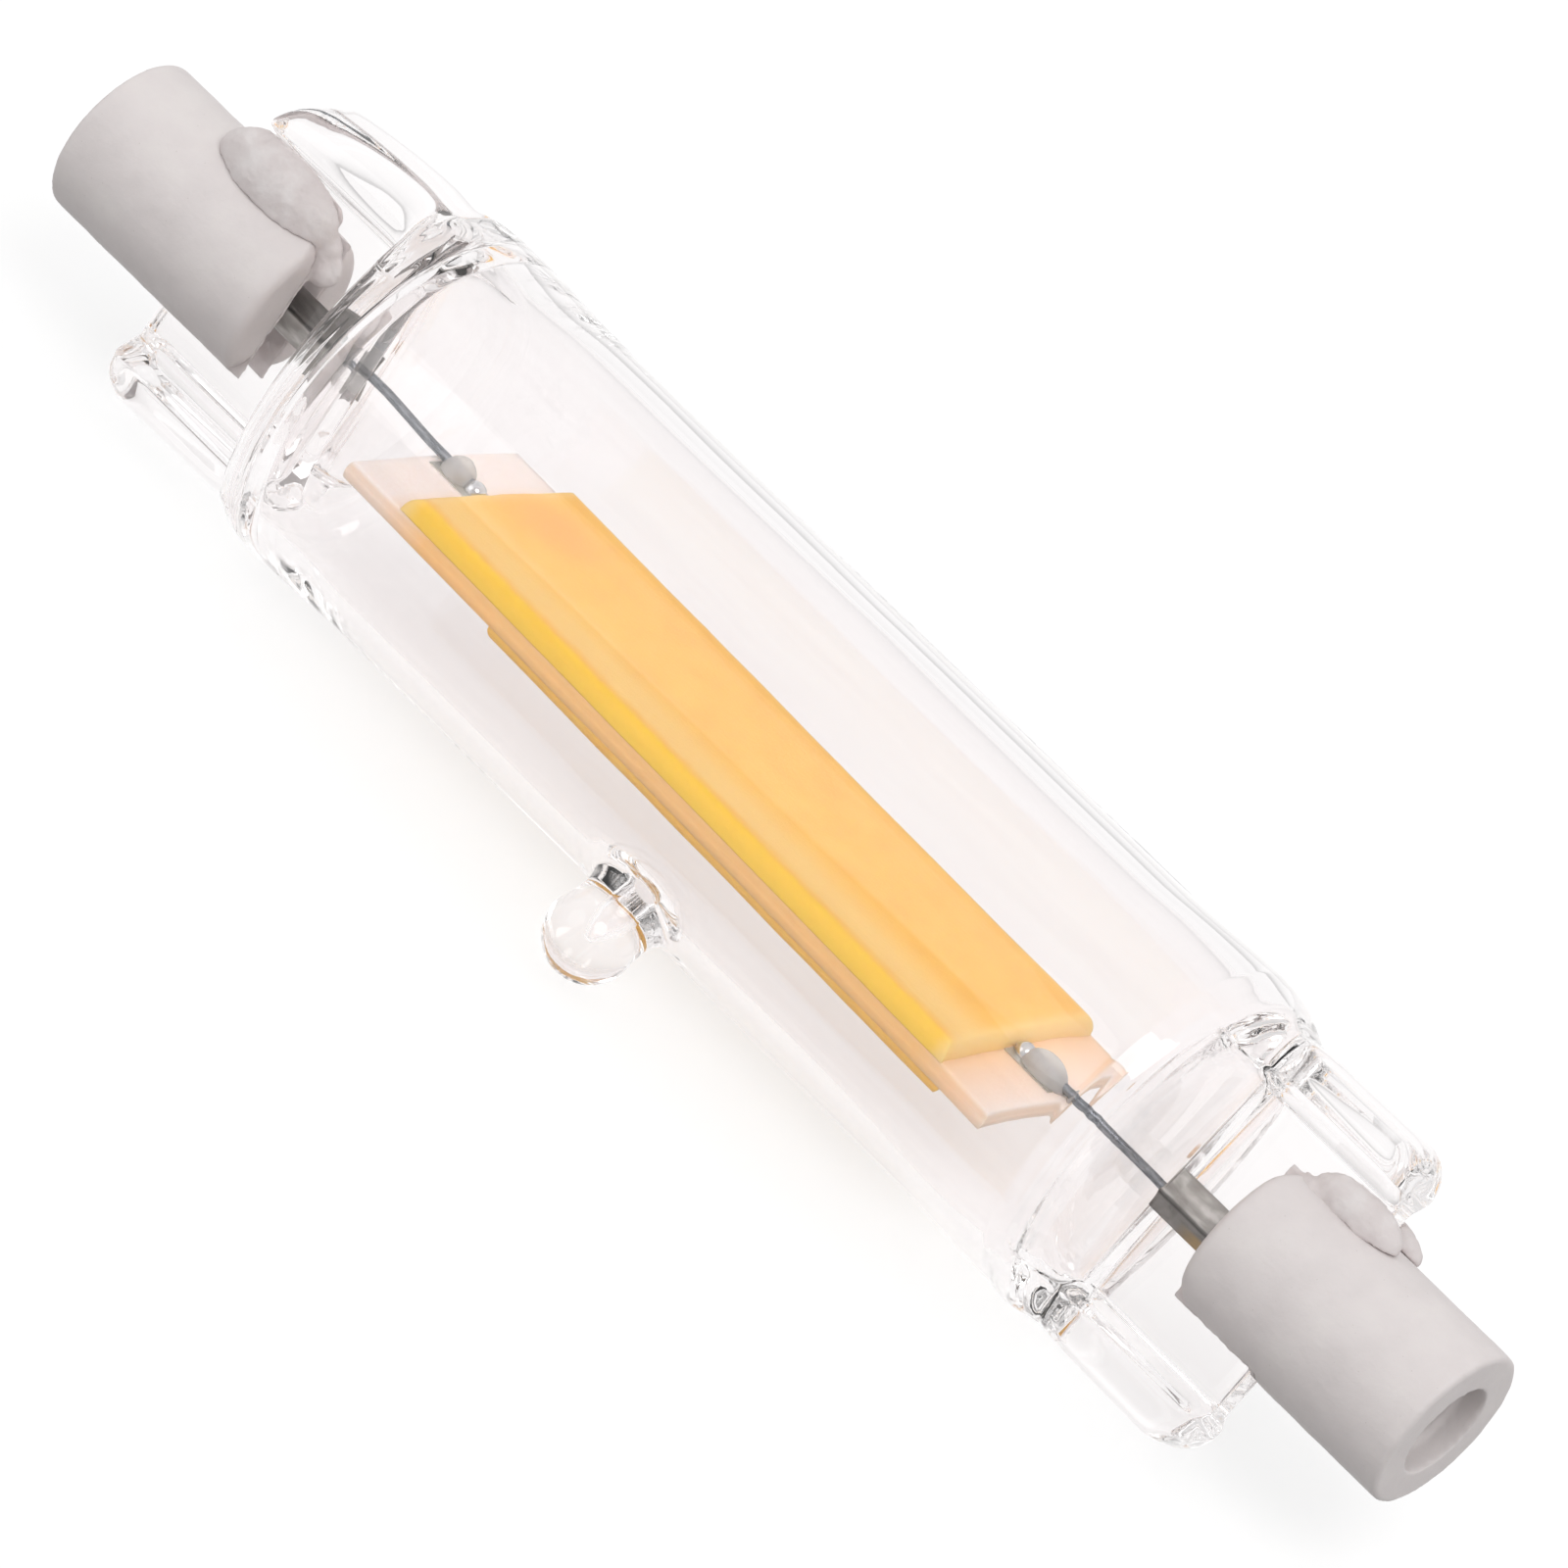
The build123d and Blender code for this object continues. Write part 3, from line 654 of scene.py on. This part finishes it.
def slab(name, node, look, box, thick, base, round_mm, ragged, lumps, up=1, two_sided=False):
    """Flat layer on the plate with rounded, uneven edges, up or down from its base or to both sides of it."""
    u0, u1, v0, v1 = box
    edge = [0, 0.06, 0.15, 0.3, 0.5, 0.75]

    def line(lo, hi):
        inner = list(np.arange(lo + round_mm, hi - round_mm, 0.35))
        return [lo + e * round_mm for e in edge] + inner + [hi - e * round_mm for e in reversed(edge)]
    us, vs = line(u0, u1), line(v0, v1)
    verts, faces = [], []
    nu, nv = len(us), len(vs)
    for level in (0, 1):
        for u in us:
            for v in vs:
                lift = noise.noise(Vector((u * 0.35, v * 0.35, 2.0 + lumps)))
                du = min(u - u0, u1 - u)
                dv = min(v - v0, v1 - v)
                d = min(du, dv) / round_mm
                high = thick * math.sqrt(max(0.0, 1 - (1 - min(d, 1)) ** 2))
                wu = noise.noise(Vector((v * 0.9, u0, 5))) + noise.noise(Vector((v * 3.1, u0, 9))) * 0.35
                wv = noise.noise(Vector((u * 0.2, v0, 15))) * 0.3
                near_u = math.exp(-max(du, 0) / 0.8)
                near_v = math.exp(-max(dv, 0) / 0.5)
                pu = u + wu * ragged * near_u * (1 if u > (u0 + u1) / 2 else -1)
                pv = v + wv * ragged * near_v * (1 if v > (v0 + v1) / 2 else -1)
                if level == 0:
                    w = base + up * (high * (1 + lumps * lift))
                else:
                    w = base - up * (high if two_sided else 0.03)
                verts.append(on_plate(pu, pv, w))
    total = nu * nv
    for i in range(nu - 1):
        for j in range(nv - 1):
            a, b, c, d = i * nv + j, (i + 1) * nv + j, (i + 1) * nv + j + 1, i * nv + j + 1
            faces.append((a, b, c, d))
            faces.append((a + total, d + total, c + total, b + total))
    border = [(i, 0) for i in range(nu - 1)] + [(nu - 1, j) for j in range(nv - 1)]
    border += [(i, nv - 1) for i in range(nu - 1, 0, -1)] + [(0, j) for j in range(nv - 1, 0, -1)]
    for k, (i, j) in enumerate(border):
        m, n = border[(k + 1) % len(border)]
        faces.append((m * nv + n, i * nv + j, i * nv + j + total, m * nv + n + total))
    if up < 0:
        faces = [f[::-1] for f in faces]
    piece(name, verts, faces, look, node)


def drop(name, node, look, centre, half):
    """Domed drop that stands on the plate: half gives its half length, half width and height."""
    rings, around = 14, 48
    verts, faces = [], []
    for i in range(rings + 1):
        lift = math.radians(90 * i / rings)
        for j in range(around):
            a = 2 * math.pi * j / around
            spot = Vector((math.cos(a) * 1.3, math.sin(a) * 1.3, i * 0.12 + centre[0]))
            flow = 1 + 0.06 * noise.noise(spot)
            u = half[0] * math.cos(lift) * math.cos(a) * flow
            v = half[1] * math.cos(lift) * math.sin(a) * flow
            if i == rings:
                u, v = 0.0, 0.0
            verts.append(on_plate(centre[0] + u, centre[1] + v, centre[2] + half[2] * math.sin(lift)))
    for i in range(rings):
        for j in range(around):
            k = (j + 1) % around
            if i == rings - 1:
                faces.append((i * around + j, i * around + k, (i + 1) * around))
            else:
                faces.append((i * around + j, i * around + k, (i + 1) * around + k, (i + 1) * around + j))
    faces.append(tuple(range(around - 1, -1, -1)))
    piece(name, verts, faces, look, node)


def rebuilt(name, node, look, voxel, wear, lumps=()):
    """Copy of a CAD node, remeshed fine, so that its edges are worn and its faces a little uneven."""
    bm = bmesh.new()
    bm.from_mesh(NODES[node].data)
    bmesh.ops.scale(bm, vec=(1 / MM, 1 / MM, 1 / MM), verts=bm.verts)
    for centre, radii, axes in lumps:
        grown = bmesh.ops.create_icosphere(bm, subdivisions=4, radius=1.0)
        for vert in grown["verts"]:
            soft = 1 + 0.10 * noise.noise(vert.co * 2.2 + centre)
            shape = sum((axis * (radius * c) for axis, radius, c in zip(axes, radii, vert.co)), Vector())
            vert.co = shape * soft + centre
    mesh = bpy.data.meshes.new(name)
    bm.to_mesh(mesh)
    bm.free()
    made = placed(name, mesh)
    remesh = made.modifiers.new("remesh", "REMESH")
    remesh.mode = "VOXEL"
    remesh.voxel_size = voxel
    relax = made.modifiers.new("relax", "SMOOTH")
    relax.factor = 0.5
    relax.iterations = 2
    graph = bpy.context.evaluated_depsgraph_get()
    new = bpy.data.meshes.new_from_object(made.evaluated_get(graph))
    made.modifiers.clear()
    made.data = new
    skin = [(vert.co.copy(), vert.normal.copy()) for vert in new.vertices]
    for vert, (p, n) in zip(new.vertices, skin):
        rough = noise.noise(p * 1.1) * wear[0] + noise.noise(p * 4.5 + Vector((9, 2, 4))) * wear[1]
        vert.co = (p + n * (rough - wear[0] * 0.6)) * MM
    new.materials.clear()
    new.materials.append(look)
    new.shade_smooth()
    hand_over(made, node)


def lathe(name, node, look, sign, profile, steps=64):
    """Turned piece about the lamp axis at one end, from a profile of distance along it and radius."""
    verts, faces = [], []
    for x, r in profile:
        for j in range(steps):
            a = 2 * math.pi * j / steps
            verts.append(Vector((sign * x, r * math.cos(a), r * math.sin(a))))
    for i in range(len(profile) - 1):
        for j in range(steps):
            k = (j + 1) % steps
            quad = (i * steps + j, i * steps + k, (i + 1) * steps + k, (i + 1) * steps + j)
            faces.append(quad if sign > 0 else quad[::-1])
    first = tuple(range(steps - 1, -1, -1))
    last = tuple(range((len(profile) - 1) * steps, len(profile) * steps))
    faces.append(first if sign > 0 else first[::-1])
    faces.append(last if sign > 0 else last[::-1])
    piece(name, verts, faces, look, node)


def foil(sign, side):
    """Folded sealing foil over the two leads, with the shallow buckles that the hot press left in it."""
    xs, ys = np.linspace(FOIL_FROM, FOIL_TO, 71), np.linspace(*FOIL_SPAN[sign], 29)
    verts, faces = [], []
    for level in (0.0, FOIL_THICK):
        for x in xs:
            for y in ys:
                off = y - FOLD_ALONG[sign]
                buckle = 0.03 * noise.noise(Vector((x * 0.8, off * 0.7, sign * 7)))
                buckle += 0.008 * math.sin(x * 4.2 + off)
                ridge = 0.06 * math.exp(-(off / 0.15) ** 2)
                verts.append(end_point(sign, x, y, 0.19 - abs(off) * 0.22 + ridge + buckle + level))
    total, wide = len(xs) * len(ys), len(ys)
    for i in range(len(xs) - 1):
        for j in range(wide - 1):
            a, b, c, d = i * wide + j, (i + 1) * wide + j, (i + 1) * wide + j + 1, i * wide + j + 1
            faces += [(a, d, c, b), (a + total, b + total, c + total, d + total)]
    rim = [i * wide for i in range(len(xs))] + [(len(xs) - 1) * wide + j for j in range(1, wide)]
    rim += [i * wide + wide - 1 for i in range(len(xs) - 2, -1, -1)] + list(range(wide - 2, 0, -1))
    for a, b in zip(rim, rim[1:] + rim[:1]):
        faces.append((a, b, b + total, a + total))
    piece(f"foil_folded_{side}", verts, faces, foil_look[sign], f"seal_foil_{side}")


# Place and radii of the cement squeezed out at each end, along the lamp, along the web and out of its face
CEMENT_LUMPS = {
    -1: [((32.5, -4.2, 0.6), (0.8, 0.9, 0.9)), ((31.3, -3.75, 1.1), (1.2, 0.55, 0.6)),
         ((30.1, -3.7, 1.2), (1.2, 0.5, 0.5)), ((28.9, -3.7, 1.2), (1.2, 0.55, 0.5)),
         ((28.0, -3.3, 1.2), (0.9, 0.8, 0.4)), ((27.4, -2.6, 1.15), (0.8, 0.9, 0.35)),
         ((33.3, -3.55, 1.2), (0.7, 0.4, 0.6))],
    1: [((29.2, 3.2, 1.35), (1.1, 0.5, 0.55)), ((30.4, 3.4, 1.35), (1.0, 0.6, 0.6)),
        ((31.5, 3.4, 1.3), (0.8, 0.6, 0.6)), ((28.4, 2.5, 1.35), (0.6, 0.5, 0.4)),
        ((32.3, 3.5, 0.6), (0.7, 0.5, 0.8))],
}


def local_axes(sign):
    """Directions of one pressed end: outward along the lamp, along its web and out of its face."""
    return Vector((sign, 0, 0)), across(PINCH[sign]) * sign, across(PINCH[sign] + 90)


def lumps_at(sign):
    """Cement lumps at one end: middle, radii and the directions that the radii lie along."""
    return [(end_point(sign, *place), radii, local_axes(sign)) for place, radii in CEMENT_LUMPS[sign]]


glass_envelope()
slab("plate_strip", "led_substrate", plate_look, PLATE_BOX, PLATE_HALF, 0.0, 0.12, 0.02, 0.0,
     two_sided=True)
slab("phosphor_front_coat", "phosphor_front", front_look, FRONT_BOX, FRONT_THICK, PLATE_HALF,
     0.45, 0.10, 0.03)
slab("phosphor_back_coat", "phosphor_back", back_look, BACK_BOX, BACK_THICK, -PLATE_HALF,
     0.3, 0.35, 0.08, up=-1)
for sign, side in SIDES.items():
    drop(f"solder_ball_{side}", f"solder_joint_{side}", solder_look,
         (sign * SOLDER_ALONG, JOINT_ACROSS, 0.45), SOLDER_HALF)
    drop(f"resin_drop_{side}", f"joint_bead_{side}", resin_look,
         (sign * RESIN_ALONG, JOINT_ACROSS, 0.38), RESIN_HALF[sign])
    rebuilt(f"cap_pressed_{side}", f"end_cap_{side}", cap_look, 0.12, (0.02, 0.008))
    rebuilt(f"cement_squeezed_{side}", f"cap_cement_{side}", cement_look, 0.1, (0.06, 0.03),
            lumps_at(sign))
    foil(sign, side)
    lathe(f"contact_turned_{side}", f"contact_{side}", contact_shade_and_glint_look, sign, CONTACT)

# Pieces that keep their CAD mesh
kept_looks = {"led_chips": chip_look, "driver_die": control_look, "rectifier_die": control_look}
for side in SIDES.values():
    kept_looks[f"terminal_pad_{side}"] = silver_look
    kept_looks[f"inner_lead_{side}"] = wire_look
    kept_looks[f"outer_lead_{side}"] = wire_look
for node, look in kept_looks.items():
    NODES[node].data.materials.clear()
    NODES[node].data.materials.append(look)


# Floor, light and camera

def bright_rays(mat):
    """Whether a ray is the camera's, a mirrored one or one through glass, and whether it is the camera's."""
    path = add(mat, "ShaderNodeLightPath").outputs
    direct = calc(mat, "MAXIMUM", path["Is Camera Ray"], path["Is Glossy Ray"])
    return calc(mat, "MAXIMUM", direct, path["Is Transmission Ray"]), path["Is Camera Ray"]


def floor():
    """White ground under the lamp. It keeps the shadow, and greys with distance in mirrors and in the glass."""
    corners = [(x * FLOOR_HALF, y * FLOOR_HALF, -REST * MM) for x, y in ((-1, -1), (1, -1), (1, 1), (-1, 1))]
    mesh = bpy.data.meshes.new("floor")
    mesh.from_pydata(corners, [], [(0, 1, 2, 3)])
    mat = blank("pale_floor")
    seen, camera_ray = bright_rays(mat)
    far = add(mat, "ShaderNodeVectorMath", {0: millimetres(mat)}, operation="LENGTH").outputs["Value"]
    greys = ramp(mat, fit(mat, far, 40.0, 260.0), [(0.0, "#FFFFFF"), (1.0, "#B4B4B4")])
    sweep = blend(mat, camera_ray, greys, "#FFFFFF")
    glow = add(mat, "ShaderNodeEmission", {"Color": sweep, "Strength": calc(mat, "MULTIPLY", seen, 0.70)})
    matt = add(mat, "ShaderNodeBsdfDiffuse", {"Color": (0.36, 0.36, 0.36, 1)})
    both = add(mat, "ShaderNodeAddShader", {0: glow.outputs[0], 1: matt.outputs[0]})
    mesh.materials.append(done(mat, both))
    placed("floor", mesh)


def world():
    """White studio, with a dimmer patch over the camera's side that gives the glass its grey edges."""
    made = bpy.data.worlds.new("studio")
    made.use_nodes = True
    made.node_tree.nodes.clear()
    seen, _ = bright_rays(made)
    way = add(made, "ShaderNodeTexCoord").outputs["Generated"]
    near = add(made, "ShaderNodeVectorMath", {0: way, 1: tuple(TOWARD)}, operation="DOT_PRODUCT")
    shade = fit(made, near.outputs["Value"], 0.6, 0.95, 1.0, DIM, "SMOOTHSTEP")
    level = add(made, "ShaderNodeMix", {0: seen, 2: DIM, 3: shade}, data_type="FLOAT").outputs[0]
    sky = add(made, "ShaderNodeBackground", {"Color": (1, 1, 1, 1), "Strength": level})
    add(made, "ShaderNodeOutputWorld", {"Surface": sky.outputs[0]})
    bpy.context.scene.world = made


def soft_light(name, place, size, power):
    """Round soft lamp that faces the object."""
    lamp = bpy.data.lights.new(name, "AREA")
    lamp.shape = "DISK"
    lamp.size = size
    lamp.energy = power
    made = placed(name, lamp)
    made.location = place
    made.rotation_euler = (-Vector(place)).to_track_quat("-Z", "Y").to_euler()


# The floor's half width in metres, how bright the dim part of the studio is, and how often light may turn: it
# is caught in the thick pressed glass and goes round in it many times before it leaves.
FLOOR_HALF = 1.0
DIM = 0.72
BOUNCES = 64
CLEAR_BOUNCES = 24

# The camera looks from above and from beyond the right end, and is rolled so that the lamp lies slanted
FROM_END = math.radians(21.3)
ABOVE = math.radians(31.6)
FACING = Vector((0, -math.cos(ABOVE), math.sin(ABOVE)))
UPWARD = Vector((0, math.sin(ABOVE), math.cos(ABOVE)))
ALONG = Vector((math.cos(FROM_END), 0, 0)) - FACING * math.sin(FROM_END)
TOWARD = FACING * math.cos(FROM_END) + Vector((math.sin(FROM_END), 0, 0))
ROLL = (0.7148, 0.6993)
DISTANCE = 490
AIM = 1.11

camera = bpy.data.cameras.new("camera")
camera.lens = 287.2
camera.sensor_width = 36.0
camera.clip_start = 0.01
camera.clip_end = 20.0
viewer = placed("camera", camera)
right = (ALONG * ROLL[0] + UPWARD * ROLL[1]).normalized()
up = (UPWARD * ROLL[0] - ALONG * ROLL[1]).normalized()
viewer.rotation_euler = Matrix((right, up, right.cross(up))).transposed().to_euler()
viewer.location = (ALONG * AIM + TOWARD * DISTANCE) * MM
bpy.context.scene.camera = viewer

floor()
world()
soft_light("key", (0.35, -0.35, 0.75), 0.5, 2.2)
soft_light("fill", (-0.5, -0.6, 0.5), 0.7, 1.0)
bpy.context.scene.view_settings.view_transform = "Standard"
cycles = bpy.context.scene.cycles
cycles.max_bounces = BOUNCES
cycles.glossy_bounces = BOUNCES
cycles.transmission_bounces = BOUNCES
cycles.transparent_max_bounces = CLEAR_BOUNCES
